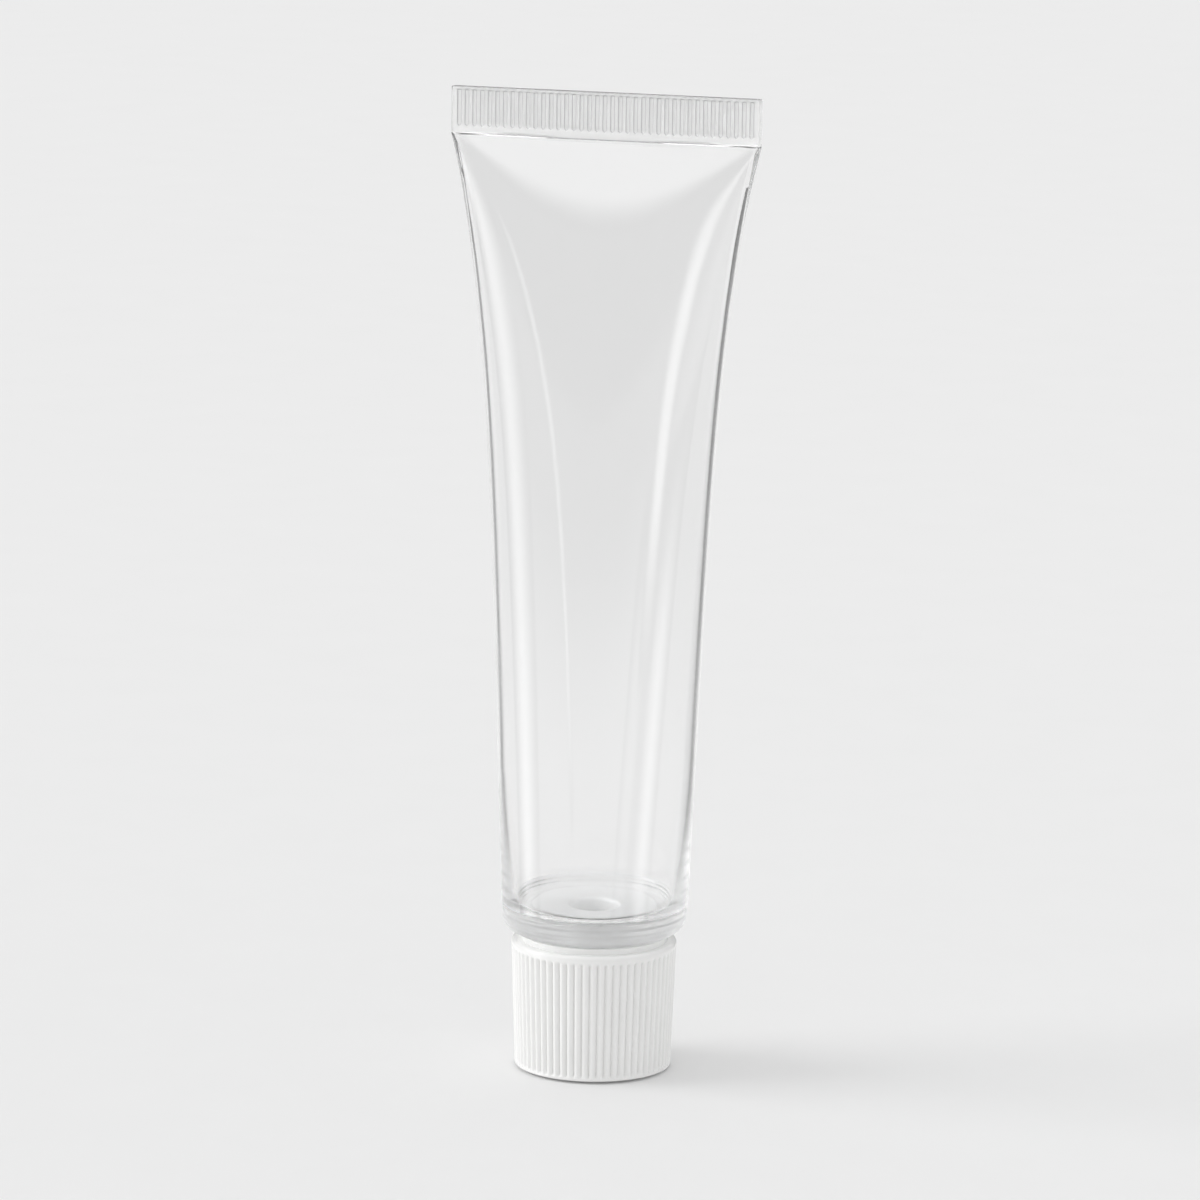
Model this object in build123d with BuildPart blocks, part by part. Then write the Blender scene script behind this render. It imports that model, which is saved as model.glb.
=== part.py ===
"""Empty clear squeeze tube, closed by a ribbed screw cap and standing on that cap.

Millimetres, +Z up, X along the crimp seal. The origin is the middle of the cap's foot.
"""

import os
from math import radians, tan

from build123d import *

# Neck and its thread: the thread's own ridge lies between the neck's core and the cap's bore
neck_core_diameter = 15.8
neck_outlet_diameter = 6.4
neck_edge_chamfer = 0.4
thread_depth = 0.8
thread_clearance = 0.3

# Screw cap, closed end down
cap_height = 17.6
cap_end_thickness = 2.0
cap_draft_angle = 2.1
cap_foot_round = 0.5
cap_rim_round = 0.5
rim_ledge = 1.2
collar_wall = 0.9
collar_height = 0.75
collar_chamfer = 0.2

# Grip ribs round the cap, left standing between upright grooves
grip_rib_count = 64
grip_groove_width = 0.74
grip_groove_bed = 0.3
grip_groove_depth = 0.26
rim_band_height = 1.2
foot_band_height = 0.6

# Sealing disc at the bottom of the cap's bore
seal_thickness = 1.4
seal_clearance = 0.2

# Head of the tube: a thick floor with a rounded shoulder, set in a little from the sleeve
tube_diameter = 25.0
shoulder_gap = 0.3
head_height = 3.9
head_inset = 0.15
head_edge_round = 2.4
floor_thickness = 3.0
floor_corner_round = 2.2
outlet_edge_chamfer = 0.5

# Sleeve: round at the head, flat at the crimp
sleeve_length = 102.8
sleeve_wall = 0.7
base_wall = 1.9
base_wall_run = 20.0
flare_share = 0.5
flare_power = 5
depth_power = 0.6

# Crimp seal: two walls pressed flat, with short upright grooves on both faces
crimp_width = 42.0
crimp_height = 6.2
crimp_root = 0.25
crimp_groove_pitch = 1.04
crimp_groove_width = 0.5
crimp_groove_depth = 0.2
crimp_groove_corner = 0.16
crimp_side_band = 0.5
crimp_top_band = 0.4
crimp_bottom_band = 1.0

# Radii and heights that follow from the sizes above
neck_radius = neck_core_diameter / 2
bore_radius = neck_radius + thread_depth + thread_clearance
collar_radius = bore_radius + collar_wall
rim_radius = collar_radius + rim_ledge
wall_slope = tan(radians(cap_draft_angle))
foot_radius = rim_radius - cap_height * wall_slope
collar_top = cap_height + collar_height
seal_top = cap_end_thickness + seal_thickness
shoulder_z = collar_top + shoulder_gap
floor_z = shoulder_z + floor_thickness
sleeve_z = shoulder_z + head_height
crease_z = sleeve_z + sleeve_length
tube_radius = tube_diameter / 2
head_radius = tube_radius - head_inset
crimp_half_thickness = sleeve_wall

# Evenly spaced spans between the sections that the sleeve and its cavity are lofted through
loft_spans = 16


def flattening(z):
    """How far the sleeve is flattened at a height: 0 is round, 1 is pressed shut."""
    share = min(max((z - sleeve_z) / sleeve_length, 0), 1)
    return (1 - flare_share) * share + flare_share * share**flare_power


def half_width(z):
    """Half the sleeve's outside width along X."""
    return tube_radius + (crimp_width / 2 - tube_radius) * flattening(z)


def half_depth(z):
    """Half the sleeve's outside depth along Y: it keeps the sleeve's girth nearly even."""
    return crimp_half_thickness + (tube_radius - crimp_half_thickness) * (1 - flattening(z)) ** depth_power


def wall(z):
    """Wall at a height: thick at the floor and thinning to the plain sleeve."""
    share = min(max((z - floor_z) / base_wall_run, 0), 1)
    return sleeve_wall + (base_wall - sleeve_wall) * (1 - share) ** 2


# Tube: head, sleeve, crimp and neck are one piece
cavity_top = crease_z - crimp_root
groove_length = crimp_height - crimp_top_band - crimp_bottom_band
groove_middle_z = crease_z + crimp_bottom_band + groove_length / 2
groove_count = int((crimp_width - 2 * crimp_side_band) / crimp_groove_pitch)
shoulder_round = min(head_edge_round, 0.9 * (head_radius - neck_radius))

with BuildPart() as tube:
    with BuildSketch(Plane.XY.offset(shoulder_z)):
        Circle(head_radius)
    extrude(amount=head_height)
    fillet(tube.edges().group_by(Axis.Z)[0], shoulder_round)
    with BuildSketch(Plane.XY.offset(shoulder_z)):
        Circle(neck_radius)
    extrude(amount=seal_top - shoulder_z)
    chamfer(tube.edges().group_by(Axis.Z)[0], neck_edge_chamfer)
    for step in range(loft_spans + 1):
        section_z = sleeve_z + sleeve_length * step / loft_spans
        with BuildSketch(Plane.XY.offset(section_z)):
            Ellipse(half_width(section_z), half_depth(section_z))
    loft()
    with BuildSketch(Plane.XY.offset(crease_z)):
        Rectangle(crimp_width, 2 * crimp_half_thickness)
    extrude(amount=crimp_height)
    for side in (-1, 1):
        face_middle = (0, side * crimp_half_thickness, groove_middle_z)
        with BuildSketch(Plane(face_middle, x_dir=(1, 0, 0), z_dir=(0, side, 0))):
            with GridLocations(crimp_groove_pitch, 0, groove_count, 1):
                grooves = Rectangle(crimp_groove_width, groove_length)
            chamfer(grooves.vertices(), crimp_groove_corner)
        extrude(amount=-crimp_groove_depth, mode=Mode.SUBTRACT)
    for step in range(loft_spans + 1):
        section_z = floor_z + (cavity_top - floor_z) * step / loft_spans
        with BuildSketch(Plane.XY.offset(section_z)):
            Ellipse(half_width(section_z) - wall(section_z), half_depth(section_z) - wall(section_z))
    loft(mode=Mode.SUBTRACT)
    fillet(tube.edges().filter_by_position(Axis.Z, floor_z, floor_z), floor_corner_round)
    with BuildSketch(Plane.XY.offset(seal_top)):
        Circle(neck_outlet_diameter / 2)
    extrude(amount=floor_z - seal_top, mode=Mode.SUBTRACT)
    floor_edges = tube.edges().filter_by_position(Axis.Z, floor_z, floor_z)
    chamfer(floor_edges.sort_by(SortBy.LENGTH)[0], outlet_edge_chamfer)
tube.part.label = "tube"

# Groove cutter for the cap's grip: a flat-bedded bar with sloping sides, along the cap's wall
groove_run = cap_height - rim_band_height - foot_band_height
groove_start = (foot_radius + foot_band_height * wall_slope, 0, foot_band_height)
groove_outer_width = 2 * grip_groove_width - grip_groove_bed

with BuildPart() as grip_groove:
    with BuildSketch(Plane(groove_start, x_dir=(1, 0, -wall_slope), z_dir=(wall_slope, 0, 1))):
        with BuildLine():
            Polyline(
                (-grip_groove_depth, -grip_groove_bed / 2),
                (grip_groove_depth, -groove_outer_width / 2),
                (grip_groove_depth, groove_outer_width / 2),
                (-grip_groove_depth, grip_groove_bed / 2),
                close=True,
            )
        make_face()
    extrude(amount=groove_run)

# Screw cap: one turned section with the grip grooves cut into its wall
with BuildPart() as screw_cap:
    with BuildSketch(Plane.XZ):
        with BuildLine():
            Polyline(
                (0, 0),
                (foot_radius, 0),
                (rim_radius, cap_height),
                (collar_radius, cap_height),
                (collar_radius, collar_top),
                (bore_radius, collar_top),
                (bore_radius, cap_end_thickness),
                (0, cap_end_thickness),
                close=True,
            )
        make_face()
    revolve(axis=Axis.Z)
    fillet(screw_cap.edges().group_by(Axis.Z)[0], cap_foot_round)
    rim_edges = screw_cap.edges().filter_by_position(Axis.Z, cap_height, cap_height)
    fillet(rim_edges.sort_by(SortBy.LENGTH)[-1], cap_rim_round)
    chamfer(screw_cap.edges().group_by(Axis.Z)[-1], collar_chamfer)
    with PolarLocations(0, grip_rib_count):
        add(grip_groove.part, mode=Mode.SUBTRACT)
screw_cap.part.label = "screw_cap"

# Sealing disc, loose by its clearance in the bore
with BuildPart() as cap_seal:
    with BuildSketch(Plane.XY.offset(cap_end_thickness)):
        Circle(bore_radius - seal_clearance)
    extrude(amount=seal_thickness)
cap_seal.part.label = "cap_seal"

os.makedirs("parts", exist_ok=True)
export_step(tube.part, "parts/tube.step")
export_step(screw_cap.part, "parts/screw_cap.step")
export_step(cap_seal.part, "parts/cap_seal.step")
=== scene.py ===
"""Looks of an empty clear squeeze tube that stands on its white screw cap.

Named sizes are millimetres, angles are degrees and the scene is in metres. X runs along the crimp seal, +Z
is up, and the origin is the middle of the cap's foot.
"""

from math import atan2, cos, hypot, pi, radians, sin, tan

import bmesh
import bpy
from mathutils import Matrix, Vector


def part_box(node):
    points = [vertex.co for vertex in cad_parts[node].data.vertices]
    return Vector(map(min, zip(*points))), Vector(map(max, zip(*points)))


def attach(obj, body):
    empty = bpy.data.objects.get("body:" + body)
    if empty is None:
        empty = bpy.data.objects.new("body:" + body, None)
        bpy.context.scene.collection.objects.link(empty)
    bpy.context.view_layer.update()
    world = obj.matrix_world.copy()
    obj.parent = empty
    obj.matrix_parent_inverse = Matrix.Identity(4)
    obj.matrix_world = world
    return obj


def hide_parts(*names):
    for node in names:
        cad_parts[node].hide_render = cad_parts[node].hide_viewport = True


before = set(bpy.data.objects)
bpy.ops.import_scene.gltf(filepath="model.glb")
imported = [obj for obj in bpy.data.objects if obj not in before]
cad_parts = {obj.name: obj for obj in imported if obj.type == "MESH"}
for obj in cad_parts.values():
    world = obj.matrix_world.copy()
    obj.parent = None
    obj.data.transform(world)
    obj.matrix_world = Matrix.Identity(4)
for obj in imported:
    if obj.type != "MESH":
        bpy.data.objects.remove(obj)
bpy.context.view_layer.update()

MM = 0.001

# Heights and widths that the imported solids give
tube_low, tube_high = (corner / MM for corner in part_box("tube"))
cap_low, cap_high = (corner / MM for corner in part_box("screw_cap"))
seal_low, seal_high = (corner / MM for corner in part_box("cap_seal"))
neck_end_z = tube_low.z
tube_top_z = tube_high.z
tube_radius = tube_high.y
crimp_half_width = tube_high.x
collar_top_z = cap_high.z
bore_floor_z = seal_low.z
seal_radius = seal_high.x

# Sizes of the tube that its box doesn't give
crimp_height = 6.2
crimp_half_thickness = 0.7
crimp_edge_round = 0.15
cavity_roof_drop = 0.25
sleeve_length = 102.8
sleeve_wall = 0.7
base_wall = 1.9
base_wall_run = 20.0
flare_share = 0.5
flare_power = 5
depth_power = 0.6
head_height = 3.9
head_inset = 0.15
head_edge_round = 2.4
floor_thickness = 3.0
floor_corner_round = 2.2
outlet_radius = 3.2
outlet_edge_round = 0.5
neck_radius = 7.9
neck_edge_round = 0.4
crease_z = tube_top_z - crimp_height
sleeve_z = crease_z - sleeve_length
shoulder_z = sleeve_z - head_height
floor_z = shoulder_z + floor_thickness
head_radius = tube_radius - head_inset

# Ribs of the crimp, left between upright grooves with round ends
crimp_groove_pitch = 1.04
crimp_groove_half_width = 0.34
crimp_groove_flank = 0.15
crimp_groove_depth = 0.22
# Width of the dark line of shade that is painted along the crease and the top edge of the crimp
crimp_edge_shade_width = 0.12
crimp_side_band = 0.5
crimp_top_band = 0.25
crimp_bottom_band = 1.0

# Screw thread: the neck's ridge and the cap's ridge lie half a pitch apart, so that they pass each other
thread_pitch = 3.0
thread_turns = 3.2
thread_start_z = 5.6
thread_ridge = 0.75
thread_half_foot = 0.85
thread_half_crest = 0.3
thread_run_out = 0.12
thread_end_gap = 0.4
neck_thread_offset = 0.0
bore_thread_offset = 0.5

# Sizes of the screw cap
cap_height = 17.6
cap_draft_angle = 2.1
cap_edge_round = 0.5
foot_gap = 0.34
foot_gap_run = 1.7
foot_edge_round = 0.22
rim_radius = 11.1
collar_radius = 9.9
collar_edge_round = 0.2
bore_radius = 9.0
grip_rib_count = 64
grip_groove_depth = 0.42
grip_groove_end_run = 0.55
rim_band_height = 0.9
foot_band_height = 0.6
wall_slope = tan(radians(cap_draft_angle))
foot_radius = rim_radius - cap_height * wall_slope

# How finely the surfaces are divided
tube_columns = 480
groove_columns = 6
cap_columns = 8 * grip_rib_count
base_rows = 14
cavity_rows = 34
cavity_crowd = 2.0
sleeve_rows = 46
sleeve_crowd = 1.8
outlet_rows = 4
neck_rows = 40
crimp_row_counts = (9, 3, 8)
groove_end_span = 1.0
flute_row_counts = (7, 5, 9)
flute_end_span = 0.8
foot_rings = 3
bore_rows = 48
small_edge_steps = 3
edge_steps = 5
corner_steps = 6
head_edge_steps = 8
sharp_angle = 38

# Distances and an angle below which points count as one, or as lying on a surface or a seam
merge_distance = 0.002
sliver_width = 0.0005
touch_distance = 0.01
sleeve_step = 0.02
inside_margin = 0.1
bore_margin = 0.05
seam_angle = 1e-6


def linear(colour):
    """An sRGB hex colour as linear red, green, blue and alpha."""
    channels = [int(colour[i : i + 2], 16) / 255 for i in (1, 3, 5)]
    return [c / 12.92 if c <= 0.04045 else ((c + 0.055) / 1.055) ** 2.4 for c in channels] + [1.0]


def smooth(share):
    """0 below 0, 1 above 1 and an even S between them."""
    share = min(max(share, 0.0), 1.0)
    return share * share * (3 - 2 * share)


def spread(start, end, count, crowd=1.0):
    """Evenly spaced values from start to end; a crowd over 1 crowds them towards the end."""
    return [start + (end - start) * (1 - (1 - i / count) ** crowd) for i in range(count + 1)]


def arc(centre_r, centre_z, radius, start, end, count=edge_steps):
    """Points of a round edge in a half section, from one angle to another."""
    turns = [radians(angle) for angle in spread(start, end, count)]
    return [(centre_r + radius * cos(turn), centre_z + radius * sin(turn)) for turn in turns]


# Law of the sleeve, which is round at the head and pressed flat at the crimp


def flattening(z):
    """How far the sleeve is flattened at a height: 0 is round, 1 is pressed shut."""
    share = min(max((z - sleeve_z) / sleeve_length, 0), 1)
    return (1 - flare_share) * share + flare_share * share**flare_power


def half_width(z):
    """Half the sleeve's outside width along X."""
    return tube_radius + (crimp_half_width - tube_radius) * flattening(z)


def half_depth(z):
    """Half the sleeve's outside depth along Y."""
    return crimp_half_thickness + (tube_radius - crimp_half_thickness) * (1 - flattening(z)) ** depth_power


def wall(z):
    """Wall at a height: thick at the floor and thinning to the plain sleeve."""
    share = min(max((z - floor_z) / base_wall_run, 0), 1)
    return sleeve_wall + (base_wall - sleeve_wall) * (1 - share) ** 2


def slot_depth(across, along, reach, flank, low, high):
    """How deep a round-ended groove is at a point, from 0 outside its reach to 1 on its bed."""
    past_end = max(low + reach - along, along - high + reach, 0)
    return smooth((reach - hypot(across, past_end)) / flank)


def thread_height(angle, z, offset):
    """Height of a right-hand screw ridge at a point, with ends that run out. The offset is in pitches."""
    turn = angle / (2 * pi)
    along = (z - thread_start_z) / thread_pitch - turn - offset
    nearest = round(along)
    travelled = nearest + turn
    flank = (thread_half_foot - abs(along - nearest) * thread_pitch) / (thread_half_foot - thread_half_crest)
    ends = smooth(travelled / thread_run_out) * smooth((thread_turns - travelled) / thread_run_out)
    return thread_ridge * smooth(flank) * ends


def spun(profile, columns):
    """A half section of (radius, height) points, spun round the Z axis into a closed shell."""
    shell = bmesh.new()
    points = [shell.verts.new((r * MM, 0, z * MM)) for r, z in profile]
    edges = [shell.edges.new(pair) for pair in zip(points, points[1:])]
    axis = {"cent": (0, 0, 0), "axis": (0, 0, 1), "angle": 2 * pi}
    bmesh.ops.spin(shell, geom=points + edges, steps=columns, use_merge=True, **axis)
    return shell


def finished(name, shell, node, body, slot, *materials):
    """Closes a shell's seams, turns its faces outwards and puts it in the place of a CAD node."""
    bmesh.ops.remove_doubles(shell, verts=shell.verts, dist=merge_distance * MM)
    bmesh.ops.dissolve_degenerate(shell, edges=shell.edges, dist=sliver_width * MM)
    bmesh.ops.recalc_face_normals(shell, faces=shell.faces)
    for face in shell.faces:
        face.smooth = True
    for edge in shell.edges:
        edge.smooth = edge.calc_face_angle(0) < radians(sharp_angle)
    mesh = bpy.data.meshes.new(name)
    shell.to_mesh(mesh)
    shell.free()
    for material in materials:
        mesh.materials.append(material)
    piece = bpy.data.objects.new(name, mesh)
    bpy.context.scene.collection.objects.link(piece)
    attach(piece, body)
    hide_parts(node)


def per_metre(size_mm):
    """The scale at which a pattern repeats about once in a size."""
    return 1 / (size_mm * MM)


def add_node(tree, kind, inputs=(), stops=(), **settings):
    """Adds a node, sets it up, fills its inputs with values or links, and gives a colour ramp its stops.

    A node that mixes colours takes its share at input 0 and its colours at 6 and 7, and gives output 2.
    """
    node = tree.nodes.new(kind)
    for name, value in settings.items():
        setattr(node, name, value)
    while stops and len(node.color_ramp.elements) < len(stops):
        node.color_ramp.elements.new(1.0)
    for index, (spot, colour) in enumerate(stops):
        node.color_ramp.elements[index].position = spot
        node.color_ramp.elements[index].color = colour
    for socket, value in dict(inputs).items():
        if isinstance(value, bpy.types.NodeSocket):
            tree.links.new(value, node.inputs[socket])
        else:
            node.inputs[socket].default_value = value
    return node


def new_material(name):
    """An empty node material and its tree."""
    material = bpy.data.materials.new(name)
    material.use_nodes = True
    material.node_tree.nodes.clear()
    return material, material.node_tree


def see_through(tree, surface):
    """Ends a clear material: its own surface is what shows, and lamp light passes through it with a tint."""
    passing = add_node(tree, "ShaderNodeBsdfTransparent", {"Color": linear(shade_tint)}).outputs["BSDF"]
    lamp_ray = add_node(tree, "ShaderNodeLightPath").outputs["Is Shadow Ray"]
    lamp_mix = add_node(tree, "ShaderNodeMixShader", {0: lamp_ray, 1: surface, 2: passing}).outputs["Shader"]
    add_node(tree, "ShaderNodeOutputMaterial", {"Surface": lamp_mix})


# Clear moulded plastic: water-clear and glossy, with the faint long waves of a drawn wall and a little haze,
# so that reflections along the sleeve wander slightly and are not ruled lines
clear_tint = "#FFFFFF"
clear_index = 1.5
clear_roughness = (0.055, 0.1)
wave_length_mm = 26.0
wave_girth_mm = 7.0
wave_height_mm = 0.03
haze_patch_mm = 9.0
haze_contrast = (0.3, 0.7)
shade_tint = "#E4E5E5"

clear_plastic, tree = new_material("clear_moulded_plastic")
place = add_node(tree, "ShaderNodeTexCoord").outputs["Object"]
stretch = (per_metre(wave_girth_mm), per_metre(wave_girth_mm), per_metre(wave_length_mm))
waves_at = add_node(tree, "ShaderNodeMapping", {"Vector": place, "Scale": stretch}).outputs["Vector"]
waves = add_node(tree, "ShaderNodeTexNoise", {"Vector": waves_at, "Scale": 1.0, "Detail": 1.0})
wave_bump = {"Height": waves.outputs["Fac"], "Distance": wave_height_mm * MM, "Strength": 1.0}
waved = add_node(tree, "ShaderNodeBump", wave_bump).outputs["Normal"]
haze_patches = {"Vector": place, "Scale": per_metre(haze_patch_mm), "Detail": 3.0}
haze = add_node(tree, "ShaderNodeTexNoise", haze_patches)
haze_range = {"Value": haze.outputs["Fac"], "From Min": haze_contrast[0], "From Max": haze_contrast[1]}
haze_range.update({"To Min": clear_roughness[0], "To Max": clear_roughness[1]})
haze_level = add_node(tree, "ShaderNodeMapRange", haze_range).outputs["Result"]
glass = {"Base Color": linear(clear_tint), "Roughness": haze_level, "IOR": clear_index}
glass.update({"Transmission Weight": 1.0, "Normal": waved})
clear = add_node(tree, "ShaderNodeBsdfPrincipled", glass).outputs["BSDF"]
see_through(tree, clear)

# Heat-sealed plastic of the crimp: the same plastic, hazed by the sealing jaws. Its colour ramp is partly
# painted
# shade: it keeps the ribs white, greys the groove beds, and paints a dark line of shade along each groove's
# flanks and along the crease and the top edge
painted_edge_shade_spot = 0.5
sealed_tones_and_painted_shade = (
    (0.0, "#FFFFFF"),
    (0.2, "#FEFEFE"),
    (painted_edge_shade_spot, "#CBCBCB"),
    (0.8, "#F1F1F1"),
    (1.0, "#F7F7F7"),
)
sealed_clearness = 0.55
sealed_roughness = (0.1, 0.18)
jaw_grain_mm = 0.6
jaw_grain_height_mm = 0.003

sealed_plastic, tree = new_material("heat_sealed_plastic")
place = add_node(tree, "ShaderNodeTexCoord").outputs["Object"]
jaw_grain = {"Vector": place, "Scale": per_metre(jaw_grain_mm), "Detail": 2.0}
jaw = add_node(tree, "ShaderNodeTexNoise", jaw_grain)
jaw_range = {"Value": jaw.outputs["Fac"], "To Min": sealed_roughness[0], "To Max": sealed_roughness[1]}
jaw_level = add_node(tree, "ShaderNodeMapRange", jaw_range).outputs["Result"]
jaw_bump = {"Height": jaw.outputs["Fac"], "Distance": jaw_grain_height_mm * MM}
jaw_normal = add_node(tree, "ShaderNodeBump", jaw_bump).outputs["Normal"]
# The pressed mark holds each groove's depth, and at the crease and the top edge the ramp spot of the painted
# dark line of shade
pressed = add_node(tree, "ShaderNodeAttribute", attribute_name="pressed").outputs["Fac"]
sealed_and_shade_stops = [(spot, linear(colour)) for spot, colour in sealed_tones_and_painted_shade]
groove_tone_and_painted_shade = add_node(tree, "ShaderNodeValToRGB", {"Fac": pressed}, sealed_and_shade_stops)
sealed_look = {"Base Color": groove_tone_and_painted_shade.outputs["Color"], "Roughness": jaw_level, "IOR": clear_index}
sealed_look.update({"Transmission Weight": sealed_clearness, "Normal": jaw_normal})
sealed = add_node(tree, "ShaderNodeBsdfPrincipled", sealed_look).outputs["BSDF"]
see_through(tree, sealed)

# Frosted plastic round the outlet, on the neck and under the shoulder: the same plastic, moulded against a
# matt tool, so that it is milky and hides the thread inside the cap
frosted_floor_radius = 8.3
frosted_colours = ("#F4F4F4", "#FDFDFD")
frosted_clearness = 0.25
frosted_roughness = 0.4
frosted_grain_mm = 0.8

frosted_plastic, tree = new_material("frosted_moulded_plastic")
place = add_node(tree, "ShaderNodeTexCoord").outputs["Object"]
frost_grain = {"Vector": place, "Scale": per_metre(frosted_grain_mm), "Detail": 2.0}
frost = add_node(tree, "ShaderNodeTexNoise", frost_grain)
frosts = {0: frost.outputs["Fac"], 6: linear(frosted_colours[0]), 7: linear(frosted_colours[1])}
frost_tone = add_node(tree, "ShaderNodeMix", frosts, data_type="RGBA").outputs[2]
frosted_look = {"Base Color": frost_tone, "Roughness": frosted_roughness, "IOR": clear_index}
frosted_look.update({"Transmission Weight": frosted_clearness})
frosted = add_node(tree, "ShaderNodeBsdfPrincipled", frosted_look).outputs["BSDF"]
see_through(tree, frosted)

# Satin plastic of the head's outside: the same plastic, from a turned tool, whose fine rings and dull polish
# blur the neck behind it into soft level lines. A wave texture repeats every wave_period at a scale of 1
satin_colours = ("#F8F8F8", "#FFFFFF")
satin_clearness = 0.72
satin_roughness = 0.3
satin_grain_mm = 0.8
turned_ring_mm = 0.9
turned_ring_height_mm = 0.08
wave_period = pi / 10

satin_plastic, tree = new_material("satin_moulded_plastic")
place = add_node(tree, "ShaderNodeTexCoord").outputs["Object"]
dull_grain = {"Vector": place, "Scale": per_metre(satin_grain_mm), "Detail": 2.0}
dull = add_node(tree, "ShaderNodeTexNoise", dull_grain)
dulls = {0: dull.outputs["Fac"], 6: linear(satin_colours[0]), 7: linear(satin_colours[1])}
dull_tone = add_node(tree, "ShaderNodeMix", dulls, data_type="RGBA").outputs[2]
ring_wave = {"Vector": place, "Scale": wave_period * per_metre(turned_ring_mm)}
rings = add_node(tree, "ShaderNodeTexWave", ring_wave, bands_direction="Z", wave_profile="SIN")
ring_bump = {"Height": rings.outputs["Fac"], "Distance": turned_ring_height_mm * MM}
ringed = add_node(tree, "ShaderNodeBump", ring_bump).outputs["Normal"]
satin_look = {"Base Color": dull_tone, "Roughness": satin_roughness, "IOR": clear_index, "Normal": ringed}
satin_look.update({"Transmission Weight": satin_clearness})
satined = add_node(tree, "ShaderNodeBsdfPrincipled", satin_look).outputs["BSDF"]
see_through(tree, satined)

# White polypropylene: bright, satin and slightly warm, with the fine grain of a sparked mould
white_colours = ("#EFEFEE", "#F3F3F2")
white_roughness = (0.19, 0.26)
white_index = 1.49
white_grain_mm = 0.35
white_grain_height_mm = 0.002
white_patch_mm = 6.0

white_plastic, tree = new_material("white_polypropylene")
place = add_node(tree, "ShaderNodeTexCoord").outputs["Object"]
white_patches = {"Vector": place, "Scale": per_metre(white_patch_mm), "Detail": 2.0}
patch = add_node(tree, "ShaderNodeTexNoise", white_patches)
tones = {0: patch.outputs["Fac"], 6: linear(white_colours[0]), 7: linear(white_colours[1])}
tone = add_node(tree, "ShaderNodeMix", tones, data_type="RGBA").outputs[2]
satin_range = {"Value": patch.outputs["Fac"], "To Min": white_roughness[0], "To Max": white_roughness[1]}
satin = add_node(tree, "ShaderNodeMapRange", satin_range).outputs["Result"]
sparked_grain = {"Vector": place, "Scale": per_metre(white_grain_mm), "Detail": 2.0}
grain = add_node(tree, "ShaderNodeTexNoise", sparked_grain)
grain_bump = {"Height": grain.outputs["Fac"], "Distance": white_grain_height_mm * MM}
grained = add_node(tree, "ShaderNodeBump", grain_bump).outputs["Normal"]
satin_white = {"Base Color": tone, "Roughness": satin, "Normal": grained, "IOR": white_index}
white = add_node(tree, "ShaderNodeBsdfPrincipled", satin_white).outputs["BSDF"]
add_node(tree, "ShaderNodeOutputMaterial", {"Surface": white})

# The same polypropylene inside the cap, where daylight soaks through the thin wall and lights the bore
soak_mm = 4.0
white_bore = white_plastic.copy()
white_bore.name = "white_polypropylene_bore"
bore_look = next(node for node in white_bore.node_tree.nodes if node.type == "BSDF_PRINCIPLED").inputs
bore_look["Subsurface Weight"].default_value = 1.0
bore_look["Subsurface Radius"].default_value = (1.0, 1.0, 1.0)
bore_look["Subsurface Scale"].default_value = soak_mm * MM

# Foamed polyethylene: dull off-white, with small closed cells
foam_colours = ("#DAD9D4", "#ECEBE7")
foam_cell_mm = 0.5
foam_cell_height_mm = 0.03
foam_roughness = 0.85

seal_foam, tree = new_material("foamed_polyethylene")
place = add_node(tree, "ShaderNodeTexCoord").outputs["Object"]
cells = add_node(tree, "ShaderNodeTexVoronoi", {"Vector": place, "Scale": per_metre(foam_cell_mm)})
cell_stops = ((0.0, linear(foam_colours[1])), (1.0, linear(foam_colours[0])))
cell_ramp = add_node(tree, "ShaderNodeValToRGB", {"Fac": cells.outputs["Distance"]}, cell_stops)
cell_bump = {"Height": cells.outputs["Distance"], "Distance": foam_cell_height_mm * MM}
celled = add_node(tree, "ShaderNodeBump", cell_bump).outputs["Normal"]
foam_look = {"Base Color": cell_ramp.outputs["Color"], "Roughness": foam_roughness, "Normal": celled}
foam = add_node(tree, "ShaderNodeBsdfPrincipled", foam_look).outputs["BSDF"]
add_node(tree, "ShaderNodeOutputMaterial", {"Surface": foam})

# Tube: one closed skin, from the cavity's roof down the inside, out through the neck and up the outside.
# It is spun round first, and then pressed flat towards the crimp as the real sleeve is. The cavity's wall
# leans by corner_lean where it runs into the floor's rounded corner
cavity_top_z = crease_z - cavity_roof_drop
roof_inset = half_depth(cavity_top_z)
corner_lean = 6.1
corner_z = floor_z + floor_corner_round
corner_touch_z = corner_z - floor_corner_round * sin(radians(corner_lean))
corner_r = tube_radius - wall(corner_touch_z) - floor_corner_round * cos(radians(corner_lean))
outlet_round_z = floor_z - outlet_edge_round
neck_round_z = neck_end_z + neck_edge_round
crimp_round_z = tube_top_z - crimp_edge_round
floor_ring_radii = (frosted_floor_radius, 6.8, 5.3)

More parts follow.
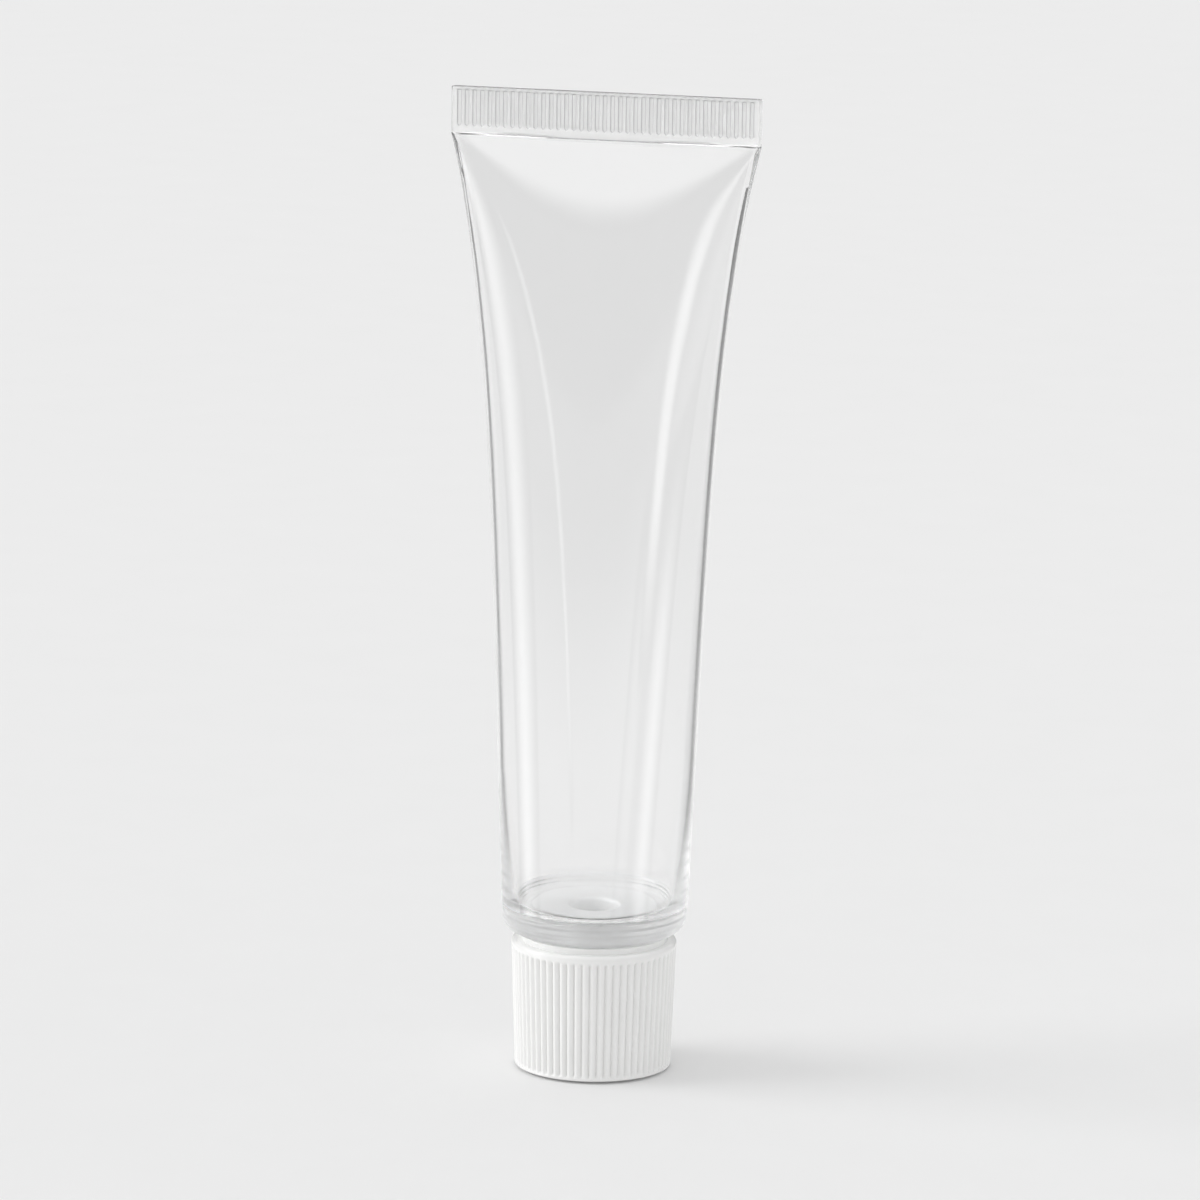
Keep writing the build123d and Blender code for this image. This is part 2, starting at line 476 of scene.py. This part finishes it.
tube_profile = [(tube_radius - roof_inset, cavity_top_z)]
inner_rows = spread(corner_touch_z, floor_z + base_wall_run, base_rows)
inner_rows += spread(inner_rows[-1], cavity_top_z, cavity_rows, cavity_crowd)[1:]
tube_profile += [(tube_radius - wall(z), z) for z in inner_rows[:0:-1]]
tube_profile += arc(corner_r, corner_z, floor_corner_round, -corner_lean, -90, corner_steps)
tube_profile += [(r, floor_z) for r in floor_ring_radii]
outlet_round_r = outlet_radius + outlet_edge_round
tube_profile += arc(outlet_round_r, outlet_round_z, outlet_edge_round, 90, 180, small_edge_steps)
tube_profile += [(outlet_radius, z) for z in spread(outlet_round_z, neck_end_z, outlet_rows)[1:]]
neck_round_r = neck_radius - neck_edge_round
tube_profile += arc(neck_round_r, neck_round_z, neck_edge_round, -90, 0, small_edge_steps)
tube_profile += [(neck_radius, z) for z in spread(neck_round_z, shoulder_z, neck_rows)[1:]]
head_round_r = head_radius - head_edge_round
tube_profile += arc(head_round_r, shoulder_z + head_edge_round, head_edge_round, -90, 0, head_edge_steps)
tube_profile += [(head_radius, sleeve_z - sleeve_step), (tube_radius - sleeve_step, sleeve_z)]
tube_profile += [(tube_radius, sleeve_z + sleeve_step)]
tube_profile += [(tube_radius, z) for z in spread(sleeve_z, crease_z, sleeve_rows, sleeve_crowd)[1:]]
low_rows, middle_rows, high_rows = crimp_row_counts
crimp_rows = spread(crease_z, crease_z + crimp_bottom_band + groove_end_span, low_rows)[1:]
crimp_rows += spread(crimp_rows[-1], tube_top_z - crimp_top_band - groove_end_span, middle_rows)[1:]
crimp_rows += spread(crimp_rows[-1], crimp_round_z, high_rows)[1:]
tube_profile += [(tube_radius, z) for z in crimp_rows]
crimp_round_r = tube_radius - crimp_edge_round
tube_profile += arc(crimp_round_r, crimp_round_z, crimp_edge_round, 0, 90, small_edge_steps)[1:]
tube_profile += [(tube_radius - crimp_half_thickness, tube_top_z)]

flat_columns_from = 25.0
crimp_square_run = 0.6
crimp_section_power = 60
groove_low_z = crease_z + crimp_bottom_band
groove_high_z = tube_top_z - crimp_top_band
column_step = crimp_groove_pitch / groove_columns
half_columns = tube_columns // 4
ruled_columns = int((crimp_half_width - crimp_side_band) / column_step)


def column_place(share):
    """Where a column stands across the crimp, -1 to 1: in step with the grooves up to the side bands."""
    columns = abs(share) * half_columns
    ruled = ruled_columns * column_step / crimp_half_width
    if columns <= ruled_columns:
        place = columns * column_step / crimp_half_width
    else:
        place = ruled + (1 - ruled) * (columns - ruled_columns) / (half_columns - ruled_columns)
    return place if share >= 0 else -place


tube_shell = spun(tube_profile, tube_columns)
# Each point's mark for the crimp's colour ramp: its groove depth, or the spot of the painted dark line of
# shade along the crease and the top edge
groove_and_shade_mark = tube_shell.verts.layers.float.new("pressed")
for point in tube_shell.verts:
    x, y, z = point.co / MM
    angle = atan2(y, x) % (2 * pi)
    radius = hypot(x, y)
    inset = tube_radius - radius
    if abs(radius - neck_radius) < touch_distance and z < shoulder_z - thread_end_gap:
        grown = neck_radius + thread_height(angle, z, neck_thread_offset)
        point.co = Vector((grown * cos(angle), grown * sin(angle), z)) * MM
    if z <= sleeve_z:
        continue
    flat = smooth((z - crease_z + flat_columns_from) / flat_columns_from)
    from_seam = min(angle, 2 * pi - angle)
    across = (1 - flat) * cos(angle) + flat * column_place(1 - 2 * from_seam / pi)
    power = 2 + (crimp_section_power - 2) * smooth((z - crease_z) / crimp_square_run)
    depth = max(1 - abs(across) ** power, 0) ** (1 / power)
    if min(from_seam, pi - from_seam) < seam_angle:
        depth = 0
    pressed_x = (half_width(z) - inset) * across
    pressed_y = max(half_depth(z) - inset, 0) * depth
    if z > crease_z and inset < touch_distance:
        from_groove = pressed_x - crimp_groove_pitch * round(pressed_x / crimp_groove_pitch)
        if abs(pressed_x) < crimp_half_width - crimp_side_band:
            groove = (crimp_groove_half_width, crimp_groove_flank, groove_low_z, groove_high_z)
            cut = slot_depth(from_groove, z, *groove)
            pressed_y -= crimp_groove_depth * cut
            point[groove_and_shade_mark] = cut
    # Points along the crease and the top edge take the ramp spot that paints a dark line of shade there
    if abs(z - crease_z) < crimp_edge_shade_width or z > tube_top_z - crimp_edge_shade_width:
        point[groove_and_shade_mark] = painted_edge_shade_spot
    side = 1 if angle < pi else -1
    point.co = Vector((pressed_x, side * pressed_y, z)) * MM

tube_finishes = (clear_plastic, sealed_plastic, frosted_plastic, satin_plastic)
clear_face, sealed_face, frosted_face, satin_face = range(len(tube_finishes))
for face in tube_shell.faces:
    x, y, z = face.calc_center_median() / MM
    on_outlet_floor = hypot(x, y) < frosted_floor_radius and z < floor_z + touch_distance
    on_outer_head = hypot(x, y) > tube_radius - base_wall + inside_margin and z < sleeve_z
    if on_outlet_floor or z < shoulder_z + sleeve_step:
        face.material_index = frosted_face
    elif on_outer_head or z < floor_z:
        face.material_index = satin_face
    elif z > crease_z:
        face.material_index = sealed_face
    else:
        face.material_index = clear_face
finished("clear_tube", tube_shell, "tube", "tube", "clear_plastic", *tube_finishes)

# Screw cap: spun as one section, with half-round grip ribs on its wall and a ridge round its bore. It stands
# on a pad inside a low gap, which keeps a dark line round its foot
foot_round_z = foot_gap + foot_edge_round
foot_round_r = foot_radius + foot_round_z * wall_slope - foot_edge_round * hypot(1, wall_slope)
foot_pad_r = foot_round_r - foot_gap_run
rim_round_z = cap_height - cap_edge_round
rim_round_r = foot_radius + rim_round_z * wall_slope - cap_edge_round * hypot(1, wall_slope)
flute_low_z = foot_band_height
flute_high_z = cap_height - rim_band_height
low_rows, middle_rows, high_rows = flute_row_counts
flute_rows = spread(foot_round_z, flute_low_z + flute_end_span, low_rows)[1:]
flute_rows += spread(flute_rows[-1], flute_high_z - flute_end_span, middle_rows)[1:]
flute_rows += spread(flute_rows[-1], rim_round_z, high_rows)[1:-1]

cap_profile = [(r, cap_low.z) for r in spread(0, foot_pad_r, foot_rings)]
cap_profile += [(foot_pad_r, foot_gap)]
cap_profile += arc(foot_round_r, foot_round_z, foot_edge_round, -90, -cap_draft_angle)
cap_profile += [(foot_radius + z * wall_slope, z) for z in flute_rows]
cap_profile += arc(rim_round_r, rim_round_z, cap_edge_round, -cap_draft_angle, 90)
cap_profile += [(collar_radius, cap_height)]
collar_round_z = collar_top_z - collar_edge_round
collar_rounds = ((collar_radius - collar_edge_round, 0, 90), (bore_radius + collar_edge_round, 90, 180))
for round_r, start, end in collar_rounds:
    cap_profile += arc(round_r, collar_round_z, collar_edge_round, start, end, small_edge_steps)
cap_profile += [(bore_radius, z) for z in spread(collar_round_z, bore_floor_z, bore_rows)[1:]]
cap_profile += [(bore_radius / 2, bore_floor_z), (0, bore_floor_z)]

flute_angle = 2 * pi / grip_rib_count
cap_shell = spun(cap_profile, cap_columns)
for point in cap_shell.verts:
    x, y, z = point.co / MM
    radius = hypot(x, y)
    angle = atan2(y, x) % (2 * pi)
    moved = radius
    if radius > foot_round_r and flute_low_z < z < flute_high_z:
        from_rib = 2 * abs(angle / flute_angle % 1 - 0.5)
        ends = smooth(min(z - flute_low_z, flute_high_z - z) / grip_groove_end_run)
        moved = radius - grip_groove_depth * from_rib**2 * ends
    elif abs(radius - bore_radius) < touch_distance and seal_high.z < z < collar_round_z - thread_end_gap:
        moved = radius - thread_height(angle, z, bore_thread_offset)
    if moved != radius:
        point.co = Vector((moved * cos(angle), moved * sin(angle), z)) * MM

outside_face, bore_face = range(2)
for face in cap_shell.faces:
    x, y, z = face.calc_center_median() / MM
    in_bore = hypot(x, y) < bore_radius + bore_margin and z > bore_floor_z - bore_margin
    face.material_index = bore_face if in_bore else outside_face
finished("ribbed_screw_cap", cap_shell, "screw_cap", "cap", "white_plastic", white_plastic, white_bore)

# Sealing disc under the neck's end, punched from sheet
seal_edge_round = 0.2
seal_columns = 96
seal_round_r = seal_radius - seal_edge_round
seal_rounds = ((seal_low.z + seal_edge_round, -90, 0), (seal_high.z - seal_edge_round, 0, 90))
seal_profile = [(0, seal_low.z)]
for round_z, start, end in seal_rounds:
    seal_profile += arc(seal_round_r, round_z, seal_edge_round, start, end, small_edge_steps)
seal_profile += [(0, seal_high.z)]
finished("sealing_disc", spun(seal_profile, seal_columns), "cap_seal", "seal", "seal_foam", seal_foam)

# Camera: a long lens, a little to the right of the crimp's middle and above the crimp
view_azimuth = 14.093
camera_distance = 900.0
camera_height = 244.866
camera_roll = 0.833
aim_right = 0.135
aim_height = 63.759
lens_mm = 207.26
sensor_mm = 36.0
far_clip_m = 20.0
turn = radians(view_azimuth)
camera_side = Vector((sin(turn), -cos(turn), 0))
right_side = Vector((cos(turn), sin(turn), 0))
camera_place = camera_side * camera_distance + Vector((0, 0, camera_height))
looking = (right_side * aim_right + Vector((0, 0, aim_height)) - camera_place).normalized()
level_right = looking.cross(Vector((0, 0, 1))).normalized()
level_up = level_right.cross(looking)
roll = radians(camera_roll)
image_right = level_right * cos(roll) + level_up * sin(roll)
image_up = level_up * cos(roll) - level_right * sin(roll)
camera_data = bpy.data.cameras.new("product_camera")
camera_data.lens = lens_mm
camera_data.sensor_width = sensor_mm
camera_data.clip_end = far_clip_m
camera = bpy.data.objects.new("product_camera", camera_data)
turned = Matrix((image_right, image_up, -looking)).transposed().to_4x4()
camera.matrix_world = Matrix.Translation(camera_place * MM) @ turned
scene = bpy.context.scene
scene.collection.objects.link(camera)
scene.camera = camera
scene.view_settings.view_transform = "Standard"

# The clear walls guide light a long way round the tube and along it, so it may bounce more often than usual
clear_bounces = 128
scene.cycles.max_bounces = clear_bounces
scene.cycles.glossy_bounces = clear_bounces
scene.cycles.transmission_bounces = clear_bounces
scene.cycles.transparent_max_bounces = clear_bounces

# Floor: pale matt card with a faint mottle
floor_size_mm = 12000.0
floor_colours = ("#EBEBEB", "#EDEDED")
floor_mottle_mm = 14.0
floor_drop_mm = 0.02

floor_card, tree = new_material("pale_matt_card")
place = add_node(tree, "ShaderNodeTexCoord").outputs["Object"]
floor_mottle = {"Vector": place, "Scale": per_metre(floor_mottle_mm), "Detail": 4.0}
mottle = add_node(tree, "ShaderNodeTexNoise", floor_mottle)
mottle_stops = ((0.0, linear(floor_colours[0])), (1.0, linear(floor_colours[1])))
mottle_ramp = add_node(tree, "ShaderNodeValToRGB", {"Fac": mottle.outputs["Fac"]}, mottle_stops)
card = add_node(tree, "ShaderNodeBsdfDiffuse", {"Color": mottle_ramp.outputs["Color"]}).outputs["BSDF"]
add_node(tree, "ShaderNodeOutputMaterial", {"Surface": card})

floor_shell = bmesh.new()
bmesh.ops.create_grid(floor_shell, x_segments=1, y_segments=1, size=floor_size_mm * MM / 2)
floor_mesh = bpy.data.meshes.new("floor")
floor_shell.to_mesh(floor_mesh)
floor_shell.free()
floor_mesh.materials.append(floor_card)
floor = bpy.data.objects.new("floor", floor_mesh)
floor.location.z = -floor_drop_mm * MM
floor.visible_glossy = False
scene.collection.objects.link(floor)

# Surroundings: even soft light for matt surfaces, the floor's own pale tone behind clear ones, and for
# reflections a pale floor, a dim room and a bright ceiling that run into each other
ambient_level = 0.84
backdrop_colour = "#ECECEC"
room_colour = "#6E6E6E"
bright_colour = "#FFFFFF"
reflected_tones = ((-0.16, bright_colour), (-0.1, room_colour), (0.32, room_colour), (0.6, bright_colour))

world = bpy.data.worlds.new("studio")
world.use_nodes = True
scene.world = world
tree = world.node_tree
tree.nodes.clear()
rays = add_node(tree, "ShaderNodeLightPath").outputs
see_rays = {0: rays["Is Camera Ray"], 1: rays["Is Transmission Ray"]}
seen = add_node(tree, "ShaderNodeMath", see_rays, operation="ADD", use_clamp=True).outputs["Value"]
towards = add_node(tree, "ShaderNodeTexCoord").outputs["Generated"]
upward = add_node(tree, "ShaderNodeSeparateXYZ", {"Vector": towards}).outputs["Z"]
rise = add_node(tree, "ShaderNodeMapRange", {"Value": upward, "From Min": -1.0}).outputs["Result"]
reflected_stops = [((height + 1) / 2, linear(colour)) for height, colour in reflected_tones]
reflected = add_node(tree, "ShaderNodeValToRGB", {"Fac": rise}, reflected_stops)
plain = {0: seen, 6: [ambient_level] * 3 + [1], 7: linear(backdrop_colour)}
plain_tone = add_node(tree, "ShaderNodeMix", plain, data_type="RGBA").outputs[2]
shown = {0: rays["Is Glossy Ray"], 6: plain_tone, 7: reflected.outputs["Color"]}
shown_tone = add_node(tree, "ShaderNodeMix", shown, data_type="RGBA").outputs[2]
sky = add_node(tree, "ShaderNodeBackground", {"Color": shown_tone}).outputs["Background"]
add_node(tree, "ShaderNodeOutputWorld", {"Surface": sky})


def stage_place(bearing, distance, height):
    """A place round the object: bearing is from the camera's side, to the right as the camera sees it."""
    swing = radians(bearing)
    return (camera_side * cos(swing) + right_side * sin(swing)) * distance + Vector((0, 0, height))


# Key light: broad and soft, low from the left, so that a pale shadow falls to the right
key_bearing = -92
key_elevation = 25
key_spread = 40
key_level = 0.16
key_data = bpy.data.lights.new("key", "SUN")
key_data.energy = key_level * pi / sin(radians(key_elevation))
key_data.angle = radians(key_spread)
key = bpy.data.objects.new("key", key_data)
key.rotation_mode = "QUATERNION"
key.rotation_quaternion = stage_place(key_bearing, 1, tan(radians(key_elevation))).to_track_quat("Z", "Y")
scene.collection.objects.link(key)

# Panels of the stage are divided so that they curve round the object
panel_columns = 24
panel_rows = 2


def stage_panel(name, low, high, distance, material):
    """A panel round the object. Low and high are its edges: left bearing, right bearing and height.

    Distance gives how far off its low and its high edge are.
    """
    shell = bmesh.new()
    shell.loops.layers.uv.new("panel")
    bmesh.ops.create_grid(shell, x_segments=panel_columns, y_segments=panel_rows, size=0.5, calc_uvs=True)
    for point in shell.verts:
        across, along = point.co.x + 0.5, point.co.y + 0.5
        edges = [end[0] + (end[1] - end[0]) * across for end in (low, high)]
        bearing = edges[0] + (edges[1] - edges[0]) * along
        reach = distance[0] + (distance[1] - distance[0]) * along
        point.co = stage_place(bearing, reach, low[2] + (high[2] - low[2]) * along) * MM
    mesh = bpy.data.meshes.new(name)
    shell.to_mesh(mesh)
    shell.free()
    mesh.materials.append(material)
    panel = bpy.data.objects.new(name, mesh)
    scene.collection.objects.link(panel)
    panel.visible_camera = False
    panel.visible_diffuse = False
    panel.visible_shadow = False
    return panel


# Softboxes: they fade towards their edges and show in the gloss alone, but for the ceiling ring, which also
# shows through the clear walls. Each has its level, how much of its width and of its height fades, and its
# lower and upper edges
strip_distance = 250.0
softboxes = {
    "left_strip": (3.2, 0.5, 0.15, (-102, -68, -150.0), (-102, -68, 145.0)),
    "right_strip": (4.0, 0.4, 0.25, (30, 44, 10.0), (7, 20, 165.0)),
    "right_low_strip": (3.0, 0.5, 0.3, (38, 68, -110.0), (38, 66, 50.0)),
    "right_weak_strip": (1.1, 0.4, 0.3, (18, 37, -75.0), (20, 38, 50.0)),
    "thin_strip": (3.2, 0.5, 0.2, (-31, -27, -5.0), (-69, -64, 150.0)),
    "ceiling_ring": (1.9, 0.0, 0.05, (-180, 180, 190.0), (-180, 180, 1300.0)),
}
for name, (level, side_fade, end_fade, low, high) in softboxes.items():
    glow, tree = new_material(name)
    across = add_node(tree, "ShaderNodeTexCoord").outputs["UV"]
    parts = add_node(tree, "ShaderNodeSeparateXYZ", {"Vector": across}).outputs
    fades = []
    for part, soft in (("X", side_fade), ("Y", end_fade)):
        spots = (0.0, soft, 1 - soft, 1.0) if soft < 0.5 else (0.0, 0.5, 1.0)
        fade_stops = [(spot, [float(soft == 0 or 0 < spot < 1)] * 3 + [1.0]) for spot in spots]
        ramp = add_node(tree, "ShaderNodeValToRGB", {"Fac": parts[part]}, fade_stops)
        ramp.color_ramp.interpolation = "EASE"
        fades.append(ramp.outputs["Color"])
    faded = add_node(tree, "ShaderNodeMath", {0: fades[0], 1: fades[1]}, operation="MULTIPLY").outputs[0]
    strength = add_node(tree, "ShaderNodeMath", {0: faded, 1: level}, operation="MULTIPLY").outputs[0]
    light = add_node(tree, "ShaderNodeEmission", {"Strength": strength}).outputs["Emission"]
    add_node(tree, "ShaderNodeOutputMaterial", {"Surface": light})
    softbox = stage_panel(name, low, high, (strip_distance, strip_distance), glow)
    softbox.visible_transmission = name == "ceiling_ring"

# Grey cards on the floor behind the tube, hidden from the camera: the clear wall bends two of them into its
# edge lines, and a faint one straight behind tones the upper half. The two show only to light that went into
# one wall and out again, and not straight through the tube. Each has the bearings of its near and far ends,
# the distances between which it fades in, how dense it gets, and how many surfaces light may pass to show it
card_colours = ("#747474", "#828282")
card_height_mm = 0.5
card_far_mm = 1500.0
grey_cards = {
    "right_card": ((124, 146), (110, 168), (25.0, 110.0), 1.0, 2),
    "left_card": ((-138, -126), (-165, -146), (25.0, 110.0), 1.0, 2),
    "far_card": ((165, 195), (165, 195), (150.0, 400.0), 0.1, 8),
}
for name, (near, far, fade_mm, density, surfaces) in grey_cards.items():
    card_grey, tree = new_material("grey_" + name)
    place = add_node(tree, "ShaderNodeTexCoord").outputs["Object"]
    nap = add_node(tree, "ShaderNodeTexNoise", {"Vector": place, "Scale": per_metre(floor_mottle_mm)})
    naps = {0: nap.outputs["Fac"], 6: linear(card_colours[0]), 7: linear(card_colours[1])}
    nap_tone = add_node(tree, "ShaderNodeMix", naps, data_type="RGBA").outputs[2]
    grey = add_node(tree, "ShaderNodeBsdfDiffuse", {"Color": nap_tone}).outputs["BSDF"]
    nothing = add_node(tree, "ShaderNodeBsdfTransparent").outputs["BSDF"]
    away = add_node(tree, "ShaderNodeVectorMath", {0: place}, operation="LENGTH").outputs["Value"]
    fade_in = {"Value": away, "From Min": fade_mm[0] * MM, "From Max": fade_mm[1] * MM, "To Max": density}
    faded = add_node(tree, "ShaderNodeMapRange", fade_in, interpolation_type="SMOOTHSTEP").outputs["Result"]
    passed = add_node(tree, "ShaderNodeLightPath").outputs["Transmission Depth"]
    few = add_node(tree, "ShaderNodeMath", {0: passed, 1: surfaces + 0.5}, operation="LESS_THAN").outputs[0]
    share = add_node(tree, "ShaderNodeMath", {0: faded, 1: few}, operation="MULTIPLY").outputs[0]
    card_mix = add_node(tree, "ShaderNodeMixShader", {0: share, 1: nothing, 2: grey}).outputs["Shader"]
    add_node(tree, "ShaderNodeOutputMaterial", {"Surface": card_mix})
    ends = ((*near, card_height_mm), (*far, card_height_mm))
    card = stage_panel(name, *ends, (fade_mm[0], card_far_mm), card_grey)
    card.visible_glossy = False
